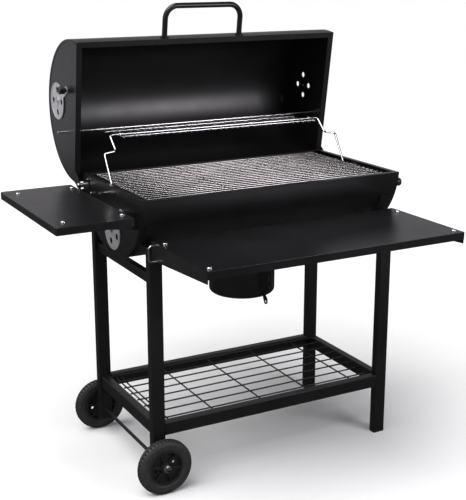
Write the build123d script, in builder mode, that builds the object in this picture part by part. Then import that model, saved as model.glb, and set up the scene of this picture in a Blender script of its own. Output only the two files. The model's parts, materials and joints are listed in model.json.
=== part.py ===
from build123d import *
from math import cos, radians, sin, sqrt
import os

os.makedirs("parts", exist_ok=True)

# Barrel charcoal grill on a four-legged cart, lid standing open.
# X runs along the barrel, -Y is the cook's side, Z is up, and the floor is Z = 0.
# The origin is the middle of the whole grill's footprint; every length below is
# measured from the barrel's own middle, which stands at (barrel_x, barrel_y).

# ---- driving dimensions, mm ----
barrel_x = 99.15
barrel_y = 47.75

sheet = 1.2              # sheet steel of the barrel and the tables
fire_half_mouth = 212    # half of the firebox's width at its rim
fire_sink = 16           # the firebox circle's centre above the rim
fire_half = 405          # half of the firebox's length
rim_z = 820              # top of the firebox rim
rim_flange = 14          # inward flange of the firebox rim
lid_r = 205              # lid outer radius
lid_skirt = 23.5         # straight part of the lid below its half circle
lid_half = 425           # half of the lid's length
lid_edge_z = 822.5       # the lid's lower edge when it is closed
lid_flange = 16          # inward flange round the lid's edge
lid_open_angle = 81.5    # from closed to standing open
hinge_y = 202
hinge_z = 787
cap_flange = 14          # depth of the end caps' flanges inside the shells

leg_x = 373              # centre of a leg
leg_y = 196.5
tube_wide = 38           # leg tube, along X
tube_deep = 25           # leg tube, along Y
tube_wall = 1.5
leg_top = 690
shelf_bar_top = 192
brace_bottom = 588
brace_high = 28
brace_deep = 20

wheel_r = 79
axle_r = 5
wheel_y = 240            # middle of a wheel's width
wheel_wide = 32
tyre_bore_r = 50
hub_hole_circle = 27     # the two holes through a hub, and where they stood
hub_hole_turn = 20

vent_r = 54              # damper disc
vent_hole_r = 9
vent_circle_r = 33       # the four holes' circle
vent_above = 122         # lid damper above the centre of the lid's half circle
fire_vent_z = 697
knob_reach = 88          # damper centre to its knob

rack_wire_r = 3
rack_foot = (37, 796)    # y and z of the warming rack's lower pivot
rack_link = (107, 140)   # y and z step from a pivot to its partner
rack_outer = 386
rack_inner = 350

grate_long = 248
grate_deep = 390
grate_pitch = 250
grate_wires = 19

side_top_z = 785
side_x0 = -649
side_x1 = -440
side_half_y = 235
side_flange = 20
front_top_z = 715
front_half_x = 386
front_y0 = -531
front_y1 = -216
front_flange = 21

lid_cos = cos(radians(lid_open_angle))
lid_sin = sin(radians(lid_open_angle))
fire_r = sqrt(fire_half_mouth**2 + fire_sink**2)
fire_centre_z = rim_z + fire_sink
lid_centre_z = lid_edge_z + lid_skirt
top_pivot_closed = (
    hinge_y + rack_link[0] * lid_cos - rack_link[1] * lid_sin,
    hinge_z + rack_link[0] * lid_sin + rack_link[1] * lid_cos,
)
top_pivot = (hinge_y + rack_link[0], hinge_z + rack_link[1])
shelf_pivot = (rack_foot[0] + rack_link[0], rack_foot[1] + rack_link[1])


# ---- planes, all in barrel coordinates ----
def across(x):
    """Faces +X at x; the sketch axes are +Y and +Z."""
    return Plane(origin=(barrel_x + x, barrel_y, 0), x_dir=(0, 1, 0), z_dir=(1, 0, 0))


def facing(y):
    """Faces the cook at y; the sketch axes are +X and +Z."""
    return Plane(origin=(barrel_x, barrel_y + y, 0), x_dir=(1, 0, 0), z_dir=(0, -1, 0))


def level(z):
    """Faces up at height z; the sketch axes are +X and +Y."""
    return Plane(origin=(barrel_x, barrel_y, z), x_dir=(1, 0, 0), z_dir=(0, 0, 1))


def opened(x, y, z):
    """Where a point of the closed lid stands with the lid open."""
    dy = y - hinge_y
    dz = z - hinge_z
    return (
        barrel_x + x,
        barrel_y + hinge_y + dy * lid_cos + dz * lid_sin,
        hinge_z - dy * lid_sin + dz * lid_cos,
    )


def lid_across(x):
    """As across(), in the lid's closed coordinates."""
    return Plane(origin=opened(x, 0, 0), x_dir=(0, lid_cos, -lid_sin), z_dir=(1, 0, 0))


def lid_facing(y):
    """As facing(), in the lid's closed coordinates."""
    return Plane(origin=opened(0, y, 0), x_dir=(1, 0, 0), z_dir=(0, -lid_cos, lid_sin))


def lid_level(z):
    """As level(), in the lid's closed coordinates."""
    return Plane(origin=opened(0, 0, z), x_dir=(1, 0, 0), z_dir=(0, lid_sin, lid_cos))


def save(piece, name):
    piece.part.label = name
    export_step(piece.part, f"parts/{name}.step")


# ---- cart: legs and their plastic plugs ----
bore_wide = tube_wide - 2 * tube_wall
bore_deep = tube_deep - 2 * tube_wall


def leg(name, side, end, foot_z, axle_hole):
    """One rectangular tube leg; side is -1 left, +1 right, end is -1 front, +1 rear."""
    with BuildPart() as tube:
        with BuildSketch(level(foot_z)):
            with Locations((side * leg_x, end * leg_y)):
                RectangleRounded(tube_wide, tube_deep, 3)
                RectangleRounded(bore_wide, bore_deep, 1.5, mode=Mode.SUBTRACT)
        extrude(amount=leg_top - foot_z)
        if axle_hole:
            with BuildSketch(facing(end * (leg_y - end * tube_deep))):
                with Locations((side * leg_x, wheel_r)):
                    Circle(axle_r + 0.1)
            extrude(amount=-end * 3 * tube_deep, both=True, mode=Mode.SUBTRACT)
    save(tube, name)


foot_height = 4
wheel_leg_foot = 52
leg("leg_front_left", -1, -1, wheel_leg_foot, True)
leg("leg_rear_left", -1, 1, wheel_leg_foot, True)
leg("leg_front_right", 1, -1, foot_height, False)
leg("leg_rear_right", 1, 1, foot_height, False)

with BuildPart() as foot_plugs:
    for side, base in ((1, 0), (-1, wheel_leg_foot - foot_height)):
        with BuildSketch(level(base)):
            with Locations((side * leg_x, leg_y), (side * leg_x, -leg_y)):
                RectangleRounded(tube_wide, tube_deep, 3)
        extrude(amount=foot_height)
        with BuildSketch(level(base + foot_height)):
            with Locations((side * leg_x, leg_y), (side * leg_x, -leg_y)):
                RectangleRounded(bore_wide, bore_deep, 1.5)
        extrude(amount=14)
save(foot_plugs, "foot_plugs")


# ---- cart: shelf bars, braces and wire shelf ----
with BuildPart() as shelf_bars_long:
    with BuildSketch(across(-leg_x + tube_wide / 2)):
        with Locations((leg_y, shelf_bar_top - tube_wide / 2), (-leg_y, shelf_bar_top - tube_wide / 2)):
            RectangleRounded(tube_deep, tube_wide, 3)
            RectangleRounded(bore_deep, bore_wide, 1.5, mode=Mode.SUBTRACT)
    extrude(amount=2 * leg_x - tube_wide)
save(shelf_bars_long, "shelf_bars_long")


def bars_between_ends(name, bottom, high, wide):
    """Tubes along Y between the front and rear legs, one on each side."""
    with BuildPart() as bars:
        with BuildSketch(facing(leg_y - tube_deep / 2)):
            with Locations((leg_x, bottom + high / 2), (-leg_x, bottom + high / 2)):
                RectangleRounded(wide, high, 3)
                RectangleRounded(wide - 2 * tube_wall, high - 2 * tube_wall, 1.5, mode=Mode.SUBTRACT)
        extrude(amount=2 * leg_y - tube_deep)
    save(bars, name)


bars_between_ends("shelf_bars_short", shelf_bar_top - tube_wide, tube_wide, tube_deep)
bars_between_ends("side_braces", brace_bottom, brace_high, brace_deep)

shelf_wire_r = 2.2
shelf_wire_z = 185
shelf_half_x = leg_x - tube_deep / 2 - 3
shelf_half_y = leg_y - tube_deep / 2 - 3
with BuildPart() as shelf_grid:
    with BuildSketch(across(-shelf_half_x)):
        with Locations((0, shelf_wire_z + 2 * shelf_wire_r - 0.1)):
            with GridLocations(49, 1, 8, 1):
                Circle(shelf_wire_r)
    extrude(amount=2 * shelf_half_x)
    with BuildSketch(facing(shelf_half_y)):
        for x in (-345, -330, -190, -34, 122, 278):
            with Locations((x, shelf_wire_z)):
                Circle(shelf_wire_r)
    extrude(amount=2 * shelf_half_y)
save(shelf_grid, "shelf_grid")

tab_reach = 12
with BuildPart() as shelf_tabs:
    with BuildSketch(level(shelf_wire_z - shelf_wire_r - 2)):
        for x in (-337.5, -34, 278):
            with Locations(
                (x, shelf_half_y + 3 - tab_reach / 2),
                (x, -shelf_half_y - 3 + tab_reach / 2),
            ):
                Rectangle(30, tab_reach)
    extrude(amount=2)
save(shelf_tabs, "shelf_tabs")


# ---- cart: saddle brackets that carry the firebox ----
saddle_gauge = 3
saddle_rise = 62
foot_inner = sqrt((fire_r + 1) ** 2 - (fire_centre_z - leg_top - saddle_gauge) ** 2)
foot_outer = leg_y + tube_deep / 2
with BuildPart() as saddle_brackets:
    for side in (-1, 1):
        for end in (-1, 1):
            with BuildSketch(across(side * leg_x - tube_wide / 2)):
                with Locations((0, fire_centre_z)):
                    Circle(fire_r + saddle_gauge)
                    Circle(fire_r, mode=Mode.SUBTRACT)
                with Locations((end * 175, leg_top + saddle_rise / 2)):
                    Rectangle(80, saddle_rise, mode=Mode.INTERSECT)
                with Locations((end * (foot_inner + foot_outer) / 2, leg_top + saddle_gauge / 2)):
                    Rectangle(foot_outer - foot_inner, saddle_gauge)
            extrude(amount=tube_wide)
save(saddle_brackets, "saddle_brackets")

# ---- axle and wheels ----
spacer_r = 9
hub_y0 = wheel_y - wheel_wide / 2 - 2
hub_y1 = wheel_y + wheel_wide / 2 + 2
washer_r = 11
nut_r = 9
axle_tip = hub_y1 + 14
with BuildPart() as axle:
    with BuildSketch(facing(axle_tip)):
        with Locations((-leg_x, wheel_r)):
            Circle(axle_r)
    extrude(amount=2 * axle_tip)
    chamfer(axle.edges().filter_by(GeomType.CIRCLE), 1)
save(axle, "axle")

with BuildPart() as axle_nuts:
    for outer, depth, radius, sides in (
        (hub_y0 - 0.5, hub_y0 - 0.5 - leg_y - tube_deep / 2, spacer_r, 0),
        (-(leg_y + tube_deep / 2), hub_y0 - 0.5 - leg_y - tube_deep / 2, spacer_r, 0),
        (hub_y1 + 2.5, 2, washer_r, 0),
        (-(hub_y1 + 0.5), 2, washer_r, 0),
        (hub_y1 + 9.5, 7, nut_r, 6),
        (-(hub_y1 + 2.5), 7, nut_r, 6),
    ):
        with BuildSketch(facing(outer)):
            with Locations((-leg_x, wheel_r)):
                if sides:
                    RegularPolygon(radius, sides)
                else:
                    Circle(radius)
                Circle(axle_r, mode=Mode.SUBTRACT)
        extrude(amount=depth)
save(axle_nuts, "axle_nuts")


def wheel(end_name, end):
    """Rubber tyre with block tread, and its plastic hub, on the axle line."""
    half = wheel_wide / 2
    with BuildPart() as tyre:
        with BuildSketch(across(-leg_x)):
            with BuildLine():
                Polyline(
                    *[
                        (end * wheel_y + across_tyre, wheel_r + radius)
                        for across_tyre, radius in (
                            (-half + 3, tyre_bore_r),
                            (-half, tyre_bore_r + 6),
                            (-half, wheel_r - 11),
                            (-half + 4, wheel_r - 3),
                            (-half + 10, wheel_r),
                            (half - 10, wheel_r),
                            (half - 4, wheel_r - 3),
                            (half, wheel_r - 11),
                            (half, tyre_bore_r + 6),
                            (half - 3, tyre_bore_r),
                        )
                    ],
                    close=True,
                )
            make_face()
        revolve(axis=Axis((barrel_x - leg_x, barrel_y, wheel_r), (0, 1, 0)))
        for face_y, run in ((end * wheel_y + half + 1, half - 2), (end * wheel_y - 3, half - 2)):
            with BuildSketch(facing(face_y)):
                with Locations((-leg_x, wheel_r)):
                    with PolarLocations(wheel_r + 1, 44, start_angle=4 * (face_y > end * wheel_y)):
                        Rectangle(9, 4.5)
            extrude(amount=run, mode=Mode.SUBTRACT)
        with BuildSketch(facing(end * wheel_y + 3)):
            with Locations((-leg_x, wheel_r)):
                with PolarLocations(wheel_r + 1, 44, start_angle=2):
                    Rectangle(5, 2.5)
        extrude(amount=6, mode=Mode.SUBTRACT)
    save(tyre, f"tyre_{end_name}")

    with BuildPart() as hub:
        with BuildSketch(facing(end * wheel_y + half - 2)):
            with Locations((-leg_x, wheel_r)):
                Circle(tyre_bore_r)
                Circle(tyre_bore_r - 4, mode=Mode.SUBTRACT)
        extrude(amount=wheel_wide - 4)
        with BuildSketch(facing(end * wheel_y + 2.5)):
            with Locations((-leg_x, wheel_r)):
                Circle(tyre_bore_r - 2)
                with PolarLocations(hub_hole_circle, 2, start_angle=hub_hole_turn):
                    Circle(4.5, mode=Mode.SUBTRACT)
        extrude(amount=5)
        with BuildSketch(facing(end * wheel_y + 11)):
            with Locations((-leg_x, wheel_r)):
                with PolarLocations(30, 6, start_angle=hub_hole_turn + 30):
                    Rectangle(36, 3)
        extrude(amount=22)
        with BuildSketch(facing(end * wheel_y + hub_y1 - wheel_y)):
            with Locations((-leg_x, wheel_r)):
                Circle(14)
        extrude(amount=hub_y1 - hub_y0)
        with BuildSketch(facing(end * wheel_y + wheel_wide)):
            with Locations((-leg_x, wheel_r)):
                Circle(axle_r + 0.1)
        extrude(amount=2 * wheel_wide, mode=Mode.SUBTRACT)
    save(hub, f"hub_{end_name}")


wheel("front", -1)
wheel("rear", 1)

# ---- firebox ----
ash_hole_r = 75


def fire_outline(radius, top_z):
    """The part of the firebox's circle below top_z, in y and z."""
    with Locations((0, fire_centre_z)):
        Circle(radius)
    with Locations((0, top_z - fire_r)):
        Rectangle(2 * fire_r, 2 * fire_r, mode=Mode.INTERSECT)


with BuildPart() as firebox_shell:
    with BuildSketch(across(-fire_half)):
        fire_outline(fire_r, rim_z)
        with Locations((0, fire_centre_z)):
            Circle(fire_r - sheet, mode=Mode.SUBTRACT)
        for end in (-1, 1):
            with Locations((end * (fire_half_mouth - rim_flange / 2 - 0.4), rim_z - sheet / 2)):
                Rectangle(rim_flange, sheet)
    extrude(amount=2 * fire_half)
    with BuildSketch(level(fire_centre_z - fire_r - 20)):
        Circle(ash_hole_r)
    extrude(amount=60, mode=Mode.SUBTRACT)
save(firebox_shell, "firebox_shell")


def firebox_cap(name, side):
    """End cap with a bead, air holes, pivot hole and inner flanges."""
    face = side * fire_half
    inner_r = fire_r - sheet - 0.1
    with BuildPart() as cap:
        with BuildSketch(across(face)):
            fire_outline(fire_r, rim_z)
        extrude(amount=side * sheet)
        with BuildSketch(across(face)):
            fire_outline(inner_r, rim_z - sheet)
            with Locations((0, fire_centre_z)):
                Circle(inner_r - sheet, mode=Mode.SUBTRACT)
        extrude(amount=-side * cap_flange)
        with BuildSketch(across(face)):
            with Locations((0, rim_z - sheet / 2)):
                Rectangle(2 * (fire_half_mouth - rim_flange - 2), sheet)
        extrude(amount=-side * (cap_flange - 2))
        with BuildSketch(across(face + side * sheet)):
            fire_outline(fire_r - 4, rim_z - 70)
            with Locations((0, fire_centre_z)):
                Circle(fire_r - 8, mode=Mode.SUBTRACT)
        extrude(amount=side * 1)
        with BuildSketch(across(face - side * cap_flange)):
            with Locations((0, fire_vent_z)):
                Circle(3.3)
                with PolarLocations(vent_circle_r, 4, start_angle=20):
                    Circle(vent_hole_r)
            with Locations(rack_foot):
                Circle(rack_wire_r + 0.4)
        extrude(amount=side * 2 * cap_flange, mode=Mode.SUBTRACT)
    save(cap, name)


firebox_cap("firebox_cap_left", -1)
firebox_cap("firebox_cap_right", 1)

ledge_z = 806
ledge_wide = 22
ledge_y = sqrt((fire_r - sheet) ** 2 - (fire_centre_z - ledge_z) ** 2) - 0.3
with BuildPart() as grate_ledges:
    with BuildSketch(across(-fire_half + cap_flange + 4)):
        for end in (-1, 1):
            with Locations((end * (ledge_y - ledge_wide / 2), ledge_z + sheet / 2)):
                Rectangle(ledge_wide, sheet)
            with Locations((end * (ledge_y - ledge_wide + sheet / 2), ledge_z - 5)):
                Rectangle(sheet, 10)
    extrude(amount=2 * (fire_half - cap_flange - 4))
save(grate_ledges, "grate_ledges")

# Charcoal grate on two rails low in the firebox.
coal_rail_z = 690
coal_wire_r = 2.5
coal_rail_y = sqrt((fire_r - sheet) ** 2 - (fire_centre_z - coal_rail_z) ** 2) - 0.3
with BuildPart() as charcoal_rails:
    for end in (-1, 1):
        with BuildSketch(across(-fire_half + 40)):
            with Locations((end * (coal_rail_y - 9), coal_rail_z + 1)):
                Rectangle(18, 2)
        extrude(amount=2 * fire_half - 80)
save(charcoal_rails, "charcoal_rails")

with BuildPart() as charcoal_grate:
    with BuildSketch(across(-370)):
        with Locations((-120, coal_rail_z + 2 + coal_wire_r), (0, coal_rail_z + 2 + coal_wire_r),
                       (120, coal_rail_z + 2 + coal_wire_r)):
            Circle(coal_wire_r)
    extrude(amount=740)
    with BuildSketch(facing(coal_rail_y - 3)):
        with Locations((0, coal_rail_z + 2 + 3 * coal_wire_r - 0.2)):
            with GridLocations(24, 1, 31, 1):
                Circle(coal_wire_r)
    extrude(amount=2 * (coal_rail_y - 3))
    with BuildSketch(facing(coal_rail_y - 3)):
        with Locations((-366, coal_rail_z + 2 + coal_wire_r), (366, coal_rail_z + 2 + coal_wire_r)):
            Circle(coal_wire_r)
    extrude(amount=2 * (coal_rail_y - 3))
save(charcoal_grate, "charcoal_grate")


# ---- cooking grates ----
def cooking_grate(name, x):
    """Long wires with round ends on four cross wires, loose in the firebox mouth."""
    long_r = 2.3
    cross_r = 2.6
    cross_z = ledge_z + sheet + 0.3 + cross_r
    step = (grate_deep - 2 * long_r) / (grate_wires - 1)
    with BuildPart() as grate:
        with BuildSketch(across(x - grate_long / 2)):
            with Locations((0, cross_z + cross_r + long_r - 0.2)):
                with GridLocations(step, 1, grate_wires, 1):
                    Circle(long_r)
        extrude(amount=grate_long)
        fillet(grate.edges().filter_by(GeomType.CIRCLE), long_r - 0.2)
        with BuildSketch(facing(grate_deep / 2)):
            with Locations((x, cross_z)):
                with GridLocations(grate_long / 3 - 3, 1, 4, 1):
                    Circle(cross_r)
        extrude(amount=grate_deep)
    save(grate, name)


cooking_grate("cooking_grate_left", -grate_pitch)
cooking_grate("cooking_grate_middle", 0)
cooking_grate("cooking_grate_right", grate_pitch)

# ---- ash outlet and ash cup ----
collar_r = 86
cup_r = 98
cup_bottom = 462
cup_top = 590
with BuildPart() as ash_collar:
    with BuildSketch(level(cup_top - 24)):
        Circle(collar_r)
        Circle(collar_r - sheet, mode=Mode.SUBTRACT)
    extrude(amount=100)
    with BuildSketch(across(-collar_r - 5)):
        with Locations((0, fire_centre_z)):
            Circle(fire_r)
    extrude(amount=2 * collar_r + 10, mode=Mode.SUBTRACT)
save(ash_collar, "ash_collar")

with BuildPart() as ash_cup:
    with BuildSketch(level(cup_bottom)):
        Circle(cup_r)
    extrude(amount=cup_top - cup_bottom)
    fillet(ash_cup.edges().filter_by(GeomType.CIRCLE).sort_by(Axis.Z)[0], 14)
    offset(amount=-1.4, openings=ash_cup.faces().sort_by(Axis.Z)[-1])
    with BuildSketch(level(cup_top - 3)):
        Circle(cup_r + 4)
        Circle(cup_r - 0.5, mode=Mode.SUBTRACT)
    extrude(amount=3)
save(ash_cup, "ash_cup")

# The carrying handle of the cup stands on its front, a little to the right.
cup_handle_turn = -79
cup_front = Plane(
    origin=(barrel_x, barrel_y, 0),
    x_dir=(cos(radians(cup_handle_turn)), sin(radians(cup_handle_turn)), 0),
    z_dir=(sin(radians(cup_handle_turn)), -cos(radians(cup_handle_turn)), 0),
)
grip_out = cup_r + 24
with BuildPart() as cup_handle:
    with BuildLine(cup_front):
        bow = FilletPolyline(
            (cup_r + 0.1, 566),
            (grip_out, 566),
            (grip_out, 482),
            (cup_r + 0.1, 482),
            radius=14,
        )
    with BuildSketch(Plane(origin=bow @ 0, z_dir=bow % 0)):
        Circle(2.8)
    sweep(path=bow)
save(cup_handle, "cup_handle")

coil_r = 1.6
coil_pitch = 4.6
coil_turns = 13
with BuildPart() as cup_grip:
    with BuildLine():
        grip_foot = cup_front.from_local_coords((grip_out, 524 - coil_turns * coil_pitch / 2, 0))
        winding = Helix(
            pitch=coil_pitch,
            height=coil_turns * coil_pitch,
            radius=6.2,
            center=(grip_foot.X, grip_foot.Y, grip_foot.Z),
        )
    with BuildSketch(Plane(origin=winding @ 0, z_dir=winding % 0)):
        Circle(coil_r)
    sweep(path=winding, is_frenet=True)
save(cup_grip, "cup_grip")

with BuildPart() as cup_latch:
    with BuildSketch(cup_front):
        with BuildLine():
            Polyline(
                (cup_r + 0.1, 476),
                (cup_r + 7, 476),
                (cup_r + 18, 462),
                (cup_r + 18, 448),
                (cup_r + 8, 444),
                (cup_r + 0.1, 464),
                close=True,
            )
        make_face()
        with Locations((cup_r + 11.5, 454)):
            Circle(3.5, mode=Mode.SUBTRACT)
    extrude(amount=1.5, both=True)
    fillet(cup_latch.edges().filter_by(GeomType.LINE).filter_by(
        lambda edge: edge.length < 3.1).sort_by(Axis.Z)[0:3], 4)
save(cup_latch, "cup_latch")

# ---- hinges at the firebox's rear corners ----
plate_gauge = 2.5
hinge_pin_r = 4
ear_r = 14
plate_bolt_y = hinge_y - 22
plate_bolt_step = 18
cap_outer = fire_half + sheet
with BuildPart() as hinge_plates:
    for side in (-1, 1):
        with BuildSketch(across(side * cap_outer)):
            with Locations((hinge_y - 9, hinge_z)):
                RectangleRounded(42, 56, 8)
        extrude(amount=side * plate_gauge)
save(hinge_plates, "hinge_plates")

with BuildPart() as hinge_pins:
    for side in (-1, 1):
        shoulder = cap_outer + plate_gauge
        ear_inner = lid_half - 0.4
        ear_outer = lid_half + sheet + 0.4
        for start, end_x, radius in (
            (shoulder, ear_inner, 7),
            (ear_inner, ear_outer, hinge_pin_r),
            (ear_outer, ear_outer + 5, 7.5),
        ):
            with BuildSketch(across(side * start)):
                with Locations((hinge_y, hinge_z)):
                    Circle(radius)
            extrude(amount=side * (end_x - start))
    rims = hinge_pins.edges().filter_by(GeomType.CIRCLE).sort_by(Axis.X)
    fillet([rims[0], rims[-1]], 2.4)
save(hinge_pins, "hinge_pins")


# ---- lid ----
def lid_outline(radius, bottom):
    """The lid's section above bottom, in its closed y and z: a half circle on a straight skirt."""
    with Locations((0, lid_centre_z)):
        Circle(radius)
    with Locations((0, (bottom + lid_centre_z) / 2)):
        Rectangle(2 * radius, lid_centre_z - bottom)
    with Locations((0, bottom + 2 * lid_r)):
        Rectangle(4 * lid_r, 4 * lid_r, mode=Mode.INTERSECT)


def lid_hollow(radius):
    """Cuts the lid's inside out of a section."""
    with Locations((0, lid_centre_z)):
        Circle(radius, mode=Mode.SUBTRACT)
    with Locations((0, lid_centre_z - lid_skirt)):
        Rectangle(2 * radius, 2 * lid_skirt, mode=Mode.SUBTRACT)


handle_x0 = -149
handle_x1 = 97
handle_z = 843
handle_reach = 91
handle_r = 8
handle_foot = 3
handle_screw_r = 3
handle_screw_deep = 12
with BuildPart() as lid_shell:
    with BuildSketch(lid_across(-lid_half)):
        lid_outline(lid_r, lid_edge_z)
        lid_hollow(lid_r - sheet)
        for end in (-1, 1):
            with Locations((end * (lid_r - lid_flange / 2), lid_edge_z + sheet / 2)):
                Rectangle(lid_flange, sheet)
    extrude(amount=2 * lid_half)
    with BuildSketch(lid_facing(-lid_r + 10)):
        with Locations((handle_x0, handle_z), (handle_x1, handle_z)):
            Circle(handle_screw_r + 0.1)
    extrude(amount=20, mode=Mode.SUBTRACT)
save(lid_shell, "lid_shell")


def lid_cap(name, side):
    """End cap of the lid, with its hinge ear, bead, air holes and rack hole."""
    face = side * lid_half
    with BuildPart() as cap:
        with BuildSketch(lid_across(face)):
            lid_outline(lid_r, lid_edge_z)
            with Locations((hinge_y, hinge_z)):
                Circle(ear_r)
            with BuildLine():
                Polyline(
                    (hinge_y - ear_r, hinge_z),
                    (hinge_y - 34, lid_edge_z + 1),
                    (lid_r, lid_edge_z + 1),
                    (hinge_y + ear_r, hinge_z),
                    close=True,
                )
            make_face()
            with Locations((hinge_y, hinge_z)):
                Circle(hinge_pin_r + 0.1, mode=Mode.SUBTRACT)
        extrude(amount=side * sheet)
        inner_r = lid_r - sheet - 0.1
        inner_edge = lid_edge_z + sheet + 0.1
        with BuildSketch(lid_across(face)):
            lid_outline(inner_r, inner_edge)
            lid_hollow(inner_r - sheet)
            with Locations((0, inner_edge + sheet / 2)):
                Rectangle(2 * inner_r, sheet)
        extrude(amount=-side * lid_flange)
        with BuildSketch(lid_across(face + side * sheet)):
            lid_outline(lid_r - 4, lid_edge_z + 12)
            lid_hollow(lid_r - 8)
        extrude(amount=side * 1)
        with BuildSketch(lid_across(face - side * lid_flange)):
            with Locations((0, lid_centre_z + vent_above)):
                Circle(3.3)
                with PolarLocations(vent_circle_r, 4, start_angle=lid_open_angle):
                    Circle(vent_hole_r)
            with Locations(top_pivot_closed):
                Circle(rack_wire_r + 0.5)
        extrude(amount=side * 2 * lid_flange, mode=Mode.SUBTRACT)
    save(cap, name)


lid_cap("lid_cap_left", -1)
lid_cap("lid_cap_right", 1)

with BuildPart() as lid_handle:
    with BuildLine(lid_level(handle_z)):
        handle_line = FilletPolyline(
            (handle_x0, -lid_r),
            (handle_x0, -lid_r - handle_reach),
            (handle_x1, -lid_r - handle_reach),
            (handle_x1, -lid_r),
            radius=38,
        )
    with BuildSketch(lid_facing(-lid_r)):
        with Locations((handle_x0, handle_z)):
            Circle(handle_r)
    sweep(path=handle_line)
    with BuildSketch(lid_facing(-lid_r)):
        with Locations((handle_x0, handle_z), (handle_x1, handle_z)):
            Circle(12.5)
    extrude(amount=handle_foot)
    with BuildSketch(lid_facing(-lid_r)):
        with Locations((handle_x0, handle_z), (handle_x1, handle_z)):
            Circle(handle_screw_r + 0.1)
    extrude(amount=handle_screw_deep, mode=Mode.SUBTRACT)
save(lid_handle, "lid_handle")

screw_seat = -lid_r + sheet + 0.25
with BuildPart() as handle_screws:
    with BuildSketch(lid_facing(screw_seat)):
        with Locations((handle_x0, handle_z), (handle_x1, handle_z)):
            Circle(6.5)
    extrude(amount=-3.5)
    with BuildSketch(lid_facing(screw_seat)):
        with Locations((handle_x0, handle_z), (handle_x1, handle_z)):
            Circle(handle_screw_r)
    extrude(amount=handle_screw_deep)
save(handle_screws, "handle_screws")

# ---- air dampers: a turning disc with a knob on each end cap ----
disc_gap = 1.3
disc_gauge = 1.2


def damper(name, plane_at, face, side, centre, ear_angle, hole_angle):
    """Disc with four holes, pressed rings, and an ear that carries the knob."""
    knob_at = (
        centre[0] + knob_reach * cos(radians(ear_angle)),
        centre[1] + knob_reach * sin(radians(ear_angle)),
    )
    back = face + side * disc_gap
    front = back + side * disc_gauge
    with BuildPart() as disc:
        with BuildSketch(plane_at(back)):
            with Locations(centre):
                Circle(vent_r)
            with Locations(Location(((centre[0] + knob_at[0]) / 2, (centre[1] + knob_at[1]) / 2), ear_angle)):
                Rectangle(knob_reach, 22)
            with Locations(knob_at):
                Circle(11)
                Circle(2.6, mode=Mode.SUBTRACT)
            with Locations(centre):
                Circle(3.3, mode=Mode.SUBTRACT)
                with PolarLocations(vent_circle_r, 4, start_angle=hole_angle):
                    Circle(vent_hole_r, mode=Mode.SUBTRACT)
        extrude(amount=side * disc_gauge)
        with BuildSketch(plane_at(front)):
            with Locations(centre):
                Circle(vent_r)
                Circle(vent_r - 3, mode=Mode.SUBTRACT)
                Circle(15)
                Circle(12.5, mode=Mode.SUBTRACT)
        extrude(amount=side * 1.2)
    save(disc, name)

    with BuildPart() as knob:
        with BuildSketch(plane_at(front)):
            with Locations(knob_at):
                Circle(6)
        extrude(amount=side * 6)
        with BuildSketch(plane_at(front + side * 6)):
            with Locations(knob_at):
                Circle(11.5)
        extrude(amount=side * 16)
        with BuildSketch(plane_at(back)):
            with Locations(knob_at):
                Circle(2.5)
        extrude(amount=side * disc_gauge)
        rim = knob.edges().filter_by(GeomType.CIRCLE).sort_by(Axis.X)
        fillet(rim[0] if side < 0 else rim[-1], 3)
    save(knob, f"{name}_knob")


lid_ear = 234
for side_name, side in (("left", -1), ("right", 1)):
    damper(
        f"lid_damper_{side_name}", lid_across, side * (lid_half + sheet), side,
        (0, lid_centre_z + vent_above), lid_ear, lid_open_angle,
    )
    damper(
        f"fire_damper_{side_name}", across, side * (fire_half + sheet), side,
        (0, fire_vent_z), 135, 20,
    )

for group, plane_at, half, centre in (
    ("lid_damper_screws", lid_across, lid_half, (0, lid_centre_z + vent_above)),
    ("fire_damper_screws", across, fire_half, (0, fire_vent_z)),
):
    with BuildPart() as screws:
        for side in (-1, 1):
            head = side * (half + sheet + disc_gap + disc_gauge + 0.4)
            with BuildSketch(plane_at(head)):
                with Locations(centre):
                    Circle(6.5)
            extrude(amount=side * 3)
            with BuildSketch(plane_at(side * half)):
                with Locations(centre):
                    Circle(3.2)
            extrude(amount=side * (sheet + disc_gap + disc_gauge + 0.4))
            with BuildSketch(plane_at(side * half)):
                with Locations(centre):
                    RegularPolygon(6, 6)
            extrude(amount=-side * 4)
    save(screws, group)

# ---- warming rack: a bent wire that swings, and the shelf it carries ----
jog = (97, 893)
rack_bend = 9
with BuildPart() as rack_legs:
    with BuildLine(Plane.XY):
        leg_line = FilletPolyline(
            *[
                (barrel_x + x, barrel_y + y, z)
                for x, (y, z) in (
                    (-430, rack_foot),
                    (-rack_outer, rack_foot),
                    (-rack_outer, jog),
                    (-rack_inner, (jog[0] + 4, jog[1] + 4)),
                    (-rack_inner, shelf_pivot),
                    (rack_inner, shelf_pivot),
                    (rack_inner, (jog[0] + 4, jog[1] + 4)),
                    (rack_outer, jog),
                    (rack_outer, rack_foot),
                    (430, rack_foot),
                )
            ],
            radius=rack_bend,
        )
    with BuildSketch(Plane(origin=leg_line @ 0, z_dir=leg_line % 0)):
        Circle(rack_wire_r)
    sweep(path=leg_line)
save(rack_legs, "rack_legs")

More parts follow.
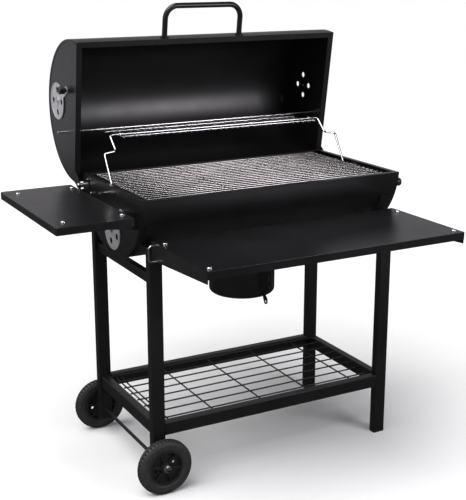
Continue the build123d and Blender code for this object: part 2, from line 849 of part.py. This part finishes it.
shelf_long_r = 2
shelf_cross_r = 1.5
shelf_rows = (-30, 98)   # long wires, measured back from the wire that carries the shelf
shelf_lip = 3            # the cross wires' ends past the front long wire
hook_half = 318
hook_r = rack_wire_r + 0.5 + 1.8
shelf_start = (shelf_pivot[0], shelf_pivot[1] - 6)
shelf_run = Vector(0, top_pivot[0] - shelf_start[0], top_pivot[1] - 3.5 - shelf_start[1])
with BuildPart() as rack_shelf:
    with BuildSketch(across(-446)):
        with Locations(top_pivot):
            Circle(rack_wire_r)
    extrude(amount=892)
    with BuildSketch(across(-hook_half - 6)):
        for row in shelf_rows:
            share = row / shelf_run.length
            row_z = shelf_start[1] + share * shelf_run.Z + shelf_cross_r + shelf_long_r - 0.3
            with Locations((shelf_start[0] + share * shelf_run.Y, row_z)):
                Circle(shelf_long_r)
    extrude(amount=2 * hook_half + 12)
    for x in (-hook_half, -hook_half / 3, hook_half / 3, hook_half):
        with BuildSketch(across(x - 1.8)):
            with Locations(shelf_pivot):
                Circle(hook_r + 1.8)
                Circle(hook_r - 1.8, mode=Mode.SUBTRACT)
        extrude(amount=3.6)
    slope = Plane(
        origin=(barrel_x, barrel_y + shelf_start[0], shelf_start[1]),
        x_dir=(1, 0, 0),
        z_dir=(shelf_run.X, shelf_run.Y, shelf_run.Z),
    )
    with BuildSketch(slope.offset(shelf_rows[0] - shelf_lip)):
        with GridLocations(2 * hook_half / 33, 1, 34, 1):
            Circle(shelf_cross_r)
        with GridLocations(2 * hook_half / 3, 1, 4, 1):
            Circle(shelf_long_r)
    extrude(amount=shelf_run.length + 2 + shelf_lip - shelf_rows[0])
save(rack_shelf, "rack_shelf")

# ---- side table ----
side_mid_x = (side_x0 + side_x1) / 2
side_wide = side_x1 - side_x0
arm_y = 166
arm_gauge = 2
bolt_r = 3
bolt_holes = [(x, y) for x in (side_x0 + 36, side_x1 - 14) for y in (-arm_y - 19, arm_y + 19)]
with BuildPart() as side_table_top:
    with BuildSketch(level(side_top_z - side_flange)):
        with Locations((side_mid_x, 0)):
            RectangleRounded(side_wide, 2 * side_half_y, 5)
    extrude(amount=side_flange)
    with BuildSketch(level(side_top_z - side_flange)):
        with Locations((side_mid_x, 0)):
            RectangleRounded(side_wide - 2 * sheet, 2 * side_half_y - 2 * sheet, 4)
    extrude(amount=side_flange - sheet, mode=Mode.SUBTRACT)
    with BuildSketch(level(side_top_z - side_flange)):
        with Locations(*bolt_holes):
            Circle(bolt_r + 0.1)
    extrude(amount=2 * side_flange, mode=Mode.SUBTRACT)
    with BuildSketch(level(side_top_z - side_flange)):
        with Locations((side_x1, -arm_y), (side_x1, arm_y)):
            Rectangle(10, arm_gauge + 0.6)
    extrude(amount=side_flange - sheet, mode=Mode.SUBTRACT)
    fillet(side_table_top.edges().group_by(Axis.Z)[-1].filter_by(lambda edge: edge.length > 6), 1)
save(side_table_top, "side_table_top")

side_arm_under = side_top_z - sheet
arm_bolt_y = arm_y - 10.5
arm_bolt_drop = 14
arm_bolt_step = 24
with BuildPart() as side_table_arms:
    for end in (-1, 1):
        with BuildSketch(facing(end * arm_y + arm_gauge / 2)):
            with BuildLine():
                Polyline(
                    (-cap_outer, side_arm_under),
                    (side_x0 + 8, side_arm_under),
                    (side_x0 + 8, side_arm_under - 16),
                    (-cap_outer - 60, side_arm_under - 40),
                    (-cap_outer, side_arm_under - 48),
                    close=True,
                )
            make_face()
        extrude(amount=arm_gauge)
        with BuildSketch(level(side_arm_under - arm_gauge)):
            with Locations(((side_x0 + 8 + side_x1 - 3) / 2, end * (arm_y + 12))):
                Rectangle(side_wide - 11, 28)
            with Locations(*[spot for spot in bolt_holes if spot[1] * end > 0]):
                Circle(bolt_r + 0.1, mode=Mode.SUBTRACT)
        extrude(amount=arm_gauge)
        with BuildSketch(across(-cap_outer)):
            with Locations((end * (arm_y - 9), side_arm_under - 26)):
                Rectangle(18, 44)
        extrude(amount=-arm_gauge)
save(side_table_arms, "side_table_arms")

# ---- front table ----
front_mid_y = (front_y0 + front_y1) / 2
front_deep = front_y1 - front_y0
front_bolt_x = front_half_x - 17
front_holes = [(x, y) for x in (-front_bolt_x, front_bolt_x) for y in (front_y0 + 24, front_y1 - 44)]
with BuildPart() as front_table_top:
    with BuildSketch(level(front_top_z - front_flange)):
        with Locations((0, front_mid_y)):
            Rectangle(2 * front_half_x, front_deep)
    extrude(amount=front_flange)
    with BuildSketch(level(front_top_z - front_flange)):
        with Locations((0, front_mid_y)):
            Rectangle(2 * front_half_x + 2, front_deep - 2 * sheet)
    extrude(amount=front_flange - sheet, mode=Mode.SUBTRACT)
    with BuildSketch(level(front_top_z - front_flange)):
        with Locations(*front_holes):
            Circle(bolt_r + 0.1)
    extrude(amount=2 * front_flange, mode=Mode.SUBTRACT)
    with BuildSketch(level(front_top_z - front_flange)):
        with Locations((-front_half_x, front_y1), (front_half_x, front_y1)):
            Rectangle(2 * arm_gauge + 0.4, 6)
    extrude(amount=front_flange - sheet, mode=Mode.SUBTRACT)
    fillet(front_table_top.edges().group_by(Axis.Z)[-1].filter_by(Axis.X), 1)
save(front_table_top, "front_table_top")

front_arm_under = front_top_z - sheet
leg_face = -(leg_y + tube_deep / 2)
arm_root_z = 662
arm_tip_z = front_top_z - 32
loop_y = -242
for side_name, side in (("left", -1), ("right", 1)):
    with BuildPart() as arm:
        with BuildSketch(across(side * front_half_x)):
            with BuildLine():
                Polyline(
                    (leg_face, front_arm_under),
                    (front_y0 + sheet, front_arm_under),
                    (front_y0 + sheet, arm_tip_z),
                    (leg_face, arm_root_z),
                    close=True,
                )
            make_face()
        extrude(amount=-side * arm_gauge)
        with BuildSketch(level(front_arm_under - arm_gauge)):
            with Locations((side * (front_half_x - 14), (front_y0 + front_y1) / 2)):
                Rectangle(28, front_deep - 2 * sheet - 2)
            with Locations(*[spot for spot in front_holes if spot[0] * side > 0]):
                Circle(bolt_r + 0.1, mode=Mode.SUBTRACT)
        extrude(amount=arm_gauge)
        with BuildSketch(facing(leg_face)):
            with Locations((side * (front_half_x - 15), (arm_root_z + front_arm_under) / 2)):
                Rectangle(30, front_arm_under - arm_root_z)
        extrude(amount=arm_gauge)
    save(arm, f"front_table_arm_{side_name}")

loop_r = 2.5
with BuildPart() as utensil_loop:
    with BuildLine(facing(loop_y)):
        loop_line = FilletPolyline(
            (-front_half_x, 712 - 3),
            (-front_half_x - 21, 712 - 3),
            (-front_half_x - 21, 666),
            (-front_half_x, 666),
            radius=9,
        )
    with BuildSketch(across(-front_half_x)):
        with Locations((loop_y, 709)):
            Circle(loop_r)
    sweep(path=loop_line)
save(utensil_loop, "utensil_loop")


# ---- bolts ----
table_grip = sheet + arm_gauge
with BuildPart() as table_bolts:
    for spots, top_z in ((bolt_holes, side_top_z), (front_holes, front_top_z)):
        with BuildSketch(level(top_z)):
            with Locations(*spots):
                Circle(7)
        extrude(amount=4)
        rims = table_bolts.edges().filter_by(GeomType.CIRCLE)
        fillet(rims.filter_by_position(Axis.Z, top_z + 3.9, top_z + 4.1), 2.8)
        with BuildSketch(level(top_z)):
            with Locations(*spots):
                Circle(bolt_r)
        extrude(amount=-table_grip - 9)
        with BuildSketch(level(top_z - table_grip)):
            with Locations(*spots):
                RegularPolygon(5.5, 6)
        extrude(amount=-4)
save(table_bolts, "table_bolts")

with BuildPart() as bracket_bolts:
    with BuildSketch(across(-cap_outer - arm_gauge)):
        for end in (-1, 1):
            with Locations(
                (end * arm_bolt_y, side_arm_under - arm_bolt_drop),
                (end * arm_bolt_y, side_arm_under - arm_bolt_drop - arm_bolt_step),
            ):
                Circle(5.5)
    extrude(amount=-3)
    for side in (-1, 1):
        with BuildSketch(across(side * (cap_outer + plate_gauge))):
            with Locations(
                (plate_bolt_y, hinge_z + plate_bolt_step),
                (plate_bolt_y, hinge_z - plate_bolt_step),
            ):
                Circle(4.8)
        extrude(amount=side * 3)
        with BuildSketch(facing(leg_face - arm_gauge)):
            with Locations((side * leg_x, arm_root_z + 12)):
                Circle(5)
        extrude(amount=3)
        with BuildSketch(level(leg_top + saddle_gauge)):
            with Locations((side * leg_x, leg_y + 2), (side * leg_x, -leg_y - 2)):
                Circle(5)
        extrude(amount=3)
save(bracket_bolts, "bracket_bolts")

# Round plastic knob on the right end cap, near the front corner.
with BuildPart() as side_knob:
    with BuildSketch(across(cap_outer)):
        with Locations((-188, 785)):
            Circle(7)
    extrude(amount=5)
    with BuildSketch(across(cap_outer + 5)):
        with Locations((-188, 785)):
            Circle(12)
    extrude(amount=17)
    fillet(side_knob.edges().filter_by(GeomType.CIRCLE).sort_by(Axis.X)[-1], 4)
save(side_knob, "side_knob")
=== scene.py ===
import bpy
import json
from math import radians
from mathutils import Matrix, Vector


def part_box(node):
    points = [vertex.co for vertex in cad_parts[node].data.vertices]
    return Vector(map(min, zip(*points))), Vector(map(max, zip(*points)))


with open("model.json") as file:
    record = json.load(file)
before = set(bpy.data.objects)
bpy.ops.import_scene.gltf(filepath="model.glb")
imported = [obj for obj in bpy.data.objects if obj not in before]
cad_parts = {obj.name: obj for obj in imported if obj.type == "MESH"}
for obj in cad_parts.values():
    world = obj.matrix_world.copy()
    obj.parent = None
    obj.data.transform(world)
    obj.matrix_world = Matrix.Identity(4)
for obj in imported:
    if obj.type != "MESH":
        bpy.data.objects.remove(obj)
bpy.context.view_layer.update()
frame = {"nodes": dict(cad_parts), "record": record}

# Looks for the barrel charcoal grill. Units are metres, in the frame of the CAD model:
# X along the barrel, -Y towards the cook, Z up, floor at Z = 0.
MICRON = 1e-6

# Sockets of the Mix node when it mixes colours; its sockets share their names.
MIX_FACTOR = 0
MIX_FIRST = 6
MIX_SECOND = 7
MIX_RESULT = 2


# ---- node helpers ----
def new_material(name):
    """A Principled material with nothing linked yet: (material, node tree, shader)."""
    material = bpy.data.materials.new(name)
    material.use_nodes = True
    tree = material.node_tree
    return material, tree, tree.nodes["Principled BSDF"]


def noise(tree, scale, detail=3.0, roughness=0.5, stretch=(1, 1, 1)):
    """Noise in the object's own metres; scale is cells per metre."""
    coords = tree.nodes.new("ShaderNodeTexCoord")
    mapping = tree.nodes.new("ShaderNodeMapping")
    mapping.inputs["Scale"].default_value = stretch
    texture = tree.nodes.new("ShaderNodeTexNoise")
    texture.inputs["Scale"].default_value = scale
    texture.inputs["Detail"].default_value = detail
    texture.inputs["Roughness"].default_value = roughness
    tree.links.new(coords.outputs["Object"], mapping.inputs["Vector"])
    tree.links.new(mapping.outputs["Vector"], texture.inputs["Vector"])
    return texture.outputs["Fac"]


def cells(tree, scale, output="Distance"):
    """Voronoi cells in the object's own metres."""
    coords = tree.nodes.new("ShaderNodeTexCoord")
    texture = tree.nodes.new("ShaderNodeTexVoronoi")
    texture.inputs["Scale"].default_value = scale
    tree.links.new(coords.outputs["Object"], texture.inputs["Vector"])
    return texture.outputs[output]


def remap(tree, value, low, high, from_low=0.3, from_high=0.7):
    """value spread between low and high; noise lies mostly between 0.3 and 0.7."""
    node = tree.nodes.new("ShaderNodeMapRange")
    node.inputs["From Min"].default_value = from_low
    node.inputs["From Max"].default_value = from_high
    node.inputs["To Min"].default_value = low
    node.inputs["To Max"].default_value = high
    tree.links.new(value, node.inputs["Value"])
    return node.outputs["Result"]


def blend_colours(tree, factor, first, second):
    """The colour between first and second at factor."""
    node = tree.nodes.new("ShaderNodeMix")
    node.data_type = "RGBA"
    node.inputs[MIX_FIRST].default_value = (*first, 1)
    node.inputs[MIX_SECOND].default_value = (*second, 1)
    tree.links.new(factor, node.inputs[MIX_FACTOR])
    return node.outputs[MIX_RESULT]


def mottle(tree, shader, dark, light, texture):
    """Base colour that wanders between dark and light."""
    fade = remap(tree, texture, 0, 1)
    tree.links.new(blend_colours(tree, fade, dark, light), shader.inputs["Base Color"])


def vary_gloss(tree, shader, low, high, texture):
    """Roughness that wanders between low and high."""
    tree.links.new(remap(tree, texture, low, high), shader.inputs["Roughness"])


def bump(tree, shader, height, distance, strength=1.0, under=None):
    """Surface relief; distance is the relief's height in metres, under is a coarser relief."""
    node = tree.nodes.new("ShaderNodeBump")
    node.inputs["Strength"].default_value = strength
    node.inputs["Distance"].default_value = distance
    tree.links.new(height, node.inputs["Height"])
    if under is not None:
        tree.links.new(under, node.inputs["Normal"])
    tree.links.new(node.outputs["Normal"], shader.inputs["Normal"])
    return node.outputs["Normal"]


# ---- materials ----
def painted_steel(name, dark, light, rough, peel=1.0):
    """Black coating on sheet steel: faint mottling, orange peel and fine grains."""
    material, tree, shader = new_material(name)
    gloss_range = 0.02
    mottle(tree, shader, dark, light, noise(tree, scale=9, detail=4, roughness=0.6))
    vary_gloss(tree, shader, rough - gloss_range, rough + gloss_range, noise(tree, scale=14))
    waves = bump(tree, shader, noise(tree, scale=420, detail=2), 8 * MICRON * peel)
    bump(tree, shader, noise(tree, scale=2600, detail=1), 3 * MICRON * peel, strength=0.7, under=waves)
    return material


def plated_wire(name, dark, light, rough):
    """Bright plated wire with small, slow changes in tint and gloss."""
    material, tree, shader = new_material(name)
    shader.inputs["Metallic"].default_value = 1.0
    mottle(tree, shader, dark, light, noise(tree, scale=12, roughness=0.6))
    vary_gloss(tree, shader, rough - 0.03, rough + 0.05, noise(tree, scale=25))
    bump(tree, shader, noise(tree, scale=300, detail=1), 4 * MICRON)
    return material


def galvanised_sheet(name):
    """Zinc-coated sheet: soft spangle, scratches and a dull sheen."""
    material, tree, shader = new_material(name)
    dark_zinc = (0.46, 0.46, 0.48)
    light_zinc = (0.58, 0.58, 0.60)
    spangles_per_metre = 190
    shader.inputs["Metallic"].default_value = 0.55
    spangle = cells(tree, spangles_per_metre, output="Color")
    fade = remap(tree, spangle, 0, 1, from_low=0, from_high=1)
    tree.links.new(blend_colours(tree, fade, dark_zinc, light_zinc), shader.inputs["Base Color"])
    vary_gloss(tree, shader, 0.36, 0.54, noise(tree, scale=90, detail=4, roughness=0.7))
    scratches = noise(tree, scale=700, detail=3, roughness=0.6, stretch=(1, 1, 0.15))
    grain = bump(tree, shader, scratches, 30 * MICRON)
    bump(tree, shader, cells(tree, spangles_per_metre), 30 * MICRON, strength=0.5, under=grain)
    return material


def zinc_hardware(name, dark, light, rough):
    """Zinc-plated bolts, nuts and rods."""
    material, tree, shader = new_material(name)
    shader.inputs["Metallic"].default_value = 1.0
    mottle(tree, shader, dark, light, noise(tree, scale=240))
    vary_gloss(tree, shader, rough - 0.05, rough + 0.08, noise(tree, scale=500))
    bump(tree, shader, noise(tree, scale=1500, detail=2), 20 * MICRON)
    return material


def plain_steel_wire(name):
    """Uncoated steel wire, dull and slightly stained."""
    material, tree, shader = new_material(name)
    stained = (0.16, 0.155, 0.15)
    clean = (0.30, 0.295, 0.29)
    shader.inputs["Metallic"].default_value = 0.9
    mottle(tree, shader, stained, clean, noise(tree, scale=30, detail=5, roughness=0.7))
    vary_gloss(tree, shader, 0.38, 0.6, noise(tree, scale=120))
    bump(tree, shader, noise(tree, scale=1100, detail=2), 50 * MICRON)
    return material


def moulded_plastic(name, dark, light, rough, grain=1.0):
    """Black injection-moulded plastic with a fine spark-eroded grain."""
    material, tree, shader = new_material(name)
    mottle(tree, shader, dark, light, noise(tree, scale=60))
    vary_gloss(tree, shader, rough - 0.05, rough + 0.07, noise(tree, scale=130))
    bump(tree, shader, noise(tree, scale=2200, detail=2), 40 * MICRON * grain)
    return material


def tyre_rubber(name):
    """Matt rubber with dust-pale patches and a pitted skin."""
    material, tree, shader = new_material(name)
    rubber = (0.012, 0.012, 0.013)
    dusty = (0.026, 0.0255, 0.026)
    mottle(tree, shader, rubber, dusty, noise(tree, scale=70, detail=5, roughness=0.7))
    vary_gloss(tree, shader, 0.52, 0.74, noise(tree, scale=180))
    bump(tree, shader, noise(tree, scale=1300, roughness=0.6), 120 * MICRON)
    return material


def black_paint(name, rough, peel=1.0):
    """The one black coating of the grill, in a gloss of its own for each slot."""
    return painted_steel(name, (0.0046, 0.0043, 0.0049), (0.0082, 0.0077, 0.0086), rough, peel)


def slot_materials():
    """The finish of each material slot in the record."""
    # The grates' chrome is tinted darker than the rack's as painted shade: it dims their highlights as
    # if they reflected the dark lid above them.
    grate_tints_with_painted_shade = (0.42, 0.41, 0.40), (0.54, 0.525, 0.51)
    rack_tints = (0.70, 0.695, 0.70), (0.86, 0.855, 0.86)
    bolt_tints = (0.66, 0.66, 0.67), (0.82, 0.82, 0.83)
    axle_nut_tints = (0.5, 0.5, 0.5), (0.68, 0.68, 0.69)
    knob_tints = (0.010, 0.010, 0.0105), (0.016, 0.016, 0.0165)
    hub_tints = (0.011, 0.011, 0.0115), (0.017, 0.017, 0.0175)
    return {
        "barrel_paint": black_paint("barrel_paint", 0.33),
        "lid_paint": black_paint("lid_paint", 0.33),
        "cart_paint": black_paint("cart_paint", 0.42, peel=1.3),
        "table_paint": black_paint("table_paint", 0.3, peel=0.25),
        "bracket_paint": black_paint("bracket_paint", 0.42, peel=1.3),
        "handle_paint": black_paint("handle_paint", 0.3),
        "cup_paint": black_paint("cup_paint", 0.36),
        "shelf_wire": black_paint("shelf_wire", 0.4),
        "handle_wire": black_paint("handle_wire", 0.35),
        "coil_paint": black_paint("coil_paint", 0.3),
        "charcoal_wire": plain_steel_wire("charcoal_wire"),
        "grate_chrome": plated_wire("grate_chrome", *grate_tints_with_painted_shade, 0.22),
        "rack_chrome": plated_wire("rack_chrome", *rack_tints, 0.16),
        "galvanised": galvanised_sheet("galvanised"),
        "bolt_steel": zinc_hardware("bolt_steel", *bolt_tints, 0.2),
        "axle_steel": zinc_hardware("axle_steel", *axle_nut_tints, 0.28),
        "black_plastic": moulded_plastic("black_plastic", *knob_tints, 0.34),
        "hub_plastic": moulded_plastic("hub_plastic", *hub_tints, 0.42, grain=1.5),
        "tyre_rubber": tyre_rubber("tyre_rubber"),
    }


def dress_cad():
    """Gives each CAD node the finish of its slot in the record; the axle's rod is left dull."""
    finishes = slot_materials()
    dull_steel_tints = (0.05, 0.05, 0.052), (0.10, 0.10, 0.102)
    finishes_by_node = {"axle": zinc_hardware("axle_rod", *dull_steel_tints, 0.42)}
    for part in frame["record"]["subparts"]:
        node = frame["nodes"][part["node"]]
        finish = finishes_by_node.get(part["node"], finishes[part["material_slot"]])
        for place in node.material_slots:
            place.material = finish


dress_cad()


# ---- stage, lights and camera ----
def stage_floor():
    """A wide pale floor."""
    reach = 60
    corners = [(-reach, -reach, 0), (reach, -reach, 0), (reach, reach, 0), (-reach, reach, 0)]
    mesh = bpy.data.meshes.new("floor")
    mesh.from_pydata(corners, [], [(0, 1, 2, 3)])
    floor = bpy.data.objects.new("floor", mesh)
    bpy.context.scene.collection.objects.link(floor)
    material, tree, shader = new_material("floor_paper")
    mottle(tree, shader, (0.84, 0.84, 0.84), (0.87, 0.87, 0.87), noise(tree, scale=1.5, detail=2))
    shader.inputs["Roughness"].default_value = 0.9
    shader.inputs["Specular IOR Level"].default_value = 0.1
    floor.data.materials.append(material)
    floor.visible_glossy = False


def softbox(name, place, target, wide, high, watts):
    """A rectangular light, very slightly violet, that faces its target and isn't seen itself."""
    light = bpy.data.lights.new(name, "AREA")
    light.shape = "RECTANGLE"
    light.size = wide
    light.size_y = high
    light.energy = watts
    light.color = (0.98, 0.94, 1.0)
    lamp = bpy.data.objects.new(name, light)
    lamp.location = place
    lamp.rotation_euler = (Vector(target) - Vector(place)).to_track_quat("-Z", "Y").to_euler()
    lamp.visible_camera = False
    bpy.context.scene.collection.objects.link(lamp)


def pale_world():
    """A sky that the camera sees as almost white and that adds little light."""
    light_strength = 0.06
    seen_strength = 1.0
    world = bpy.data.worlds.new("studio")
    world.use_nodes = True
    tree = world.node_tree
    background = tree.nodes["Background"]
    background.inputs["Color"].default_value = (0.96, 0.97, 1.0, 1)
    rays = tree.nodes.new("ShaderNodeLightPath")
    seen = rays.outputs["Is Camera Ray"]
    strength = remap(tree, seen, light_strength, seen_strength, from_low=0, from_high=1)
    tree.links.new(strength, background.inputs["Strength"])
    bpy.context.scene.world = world


def overhead_sun():
    """A very soft sun, high, to the left and a little in front."""
    sun = bpy.data.lights.new("overhead", "SUN")
    sun.energy = 4.0
    sun.angle = radians(60)
    lamp = bpy.data.objects.new("overhead", sun)
    lamp.rotation_euler = (radians(8), radians(-24), 0)
    bpy.context.scene.collection.objects.link(lamp)


def studio_lights():
    """A soft sun, a box at the front right, one at the left and a wide pale card behind."""
    pale_world()
    overhead_sun()
    softbox("right_box", (1.05, -1.7, 1.4), target=(0.1, 0.4, 0.95), wide=0.85, high=0.7, watts=17)
    softbox("left_box", (-3.2, -0.4, 1.7), target=(0.0, 0.1, 0.9), wide=1.6, high=1.8, watts=20)
    softbox("back_card", (0.6, 4.2, 1.5), target=(0.3, 0.0, 0.8), wide=9.0, high=3.0, watts=34)


def photo_camera():
    """The photograph's camera; its X and Y are measured from the middle of the barrel."""
    barrel = (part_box("firebox_shell")[0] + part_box("firebox_shell")[1]) / 2
    data = bpy.data.cameras.new("camera")
    data.lens = 75.27
    data.sensor_width = 36
    camera = bpy.data.objects.new("camera", data)
    camera.location = (barrel.x - 1.4488, barrel.y - 2.6106, 1.4244)
    camera.rotation_euler = (radians(74.31), 0, radians(-28.53))
    bpy.context.scene.collection.objects.link(camera)
    bpy.context.scene.camera = camera


stage_floor()
studio_lights()
photo_camera()
bpy.context.scene.view_settings.view_transform = "Standard"
